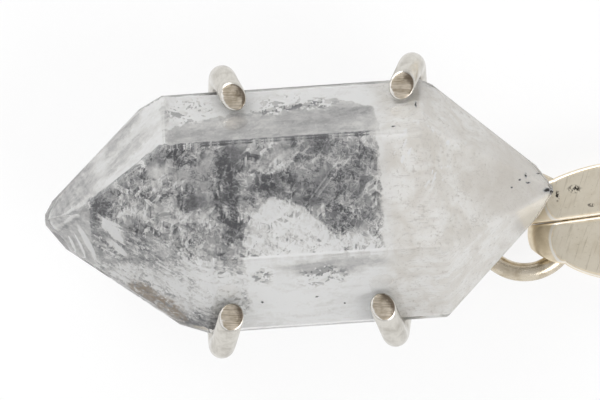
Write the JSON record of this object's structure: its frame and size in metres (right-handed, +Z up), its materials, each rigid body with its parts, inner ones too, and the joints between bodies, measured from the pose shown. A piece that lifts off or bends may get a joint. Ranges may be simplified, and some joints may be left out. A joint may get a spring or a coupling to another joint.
{
  "type": "hair pin with crystal drop",
  "caption": "Two-legged silver hair pin with a claw-set, double-pointed quartz crystal hung from it on a pair of filed curb links between two rings.",
  "frame": {"origin": "on the table under the middle of the crystal", "axes": "+Z up from the table, out of the crystal's front; +X towards the chain, along the crystal to within a few degrees; +Y across the table towards the pin"},
  "size_m": [0.0475, 0.0632, 0.0137],
  "materials": {
    "quartz": "clear natural crystal",
    "cloudy_quartz": "milky and fractured heart of the crystal",
    "silver": "filed and polished silver"
  },
  "bodies": {
    "setting": {"crystal": "quartz", "crystal_heart": "cloudy_quartz", "claw_wire_left": "silver", "claw_wire_right": "silver", "back_bar": "silver", "hanging_eye": "silver"},
    "jump_ring": {"jump_ring": "silver"},
    "links": {"lower_link": "silver", "upper_link": "silver"},
    "pin_ring": {"pin_ring": "silver"},
    "pin": {"pin_eye": "silver", "hair_pin": "silver"}
  },
  "joints": [
    {"name": "jump_ring_flap", "type": "hinge", "parent": "setting", "child": "jump_ring", "pos_m": [0.01102, 0.0005, 0.00197], "axis": [-0.5592, -0.829, 0], "range_deg": [-45, 30]},
    {"name": "link_swing", "type": "hinge", "parent": "jump_ring", "child": "links", "pos_m": [0.0133, -0.00104, 0.00197], "axis": [0, 0, -1], "range_deg": [-20, 45]},
    {"name": "pin_ring_swing", "type": "hinge", "parent": "links", "child": "pin_ring", "pos_m": [0.0242, 0.00046, 0.00197], "axis": [0, 0, -1], "range_deg": [-15, 75]},
    {"name": "pin_flap", "type": "hinge", "parent": "pin_ring", "child": "pin", "pos_m": [0.02532, 0.00297, 0.00197], "axis": [0.9994, -0.0349, 0], "range_deg": [-45, 60]}
  ]
}
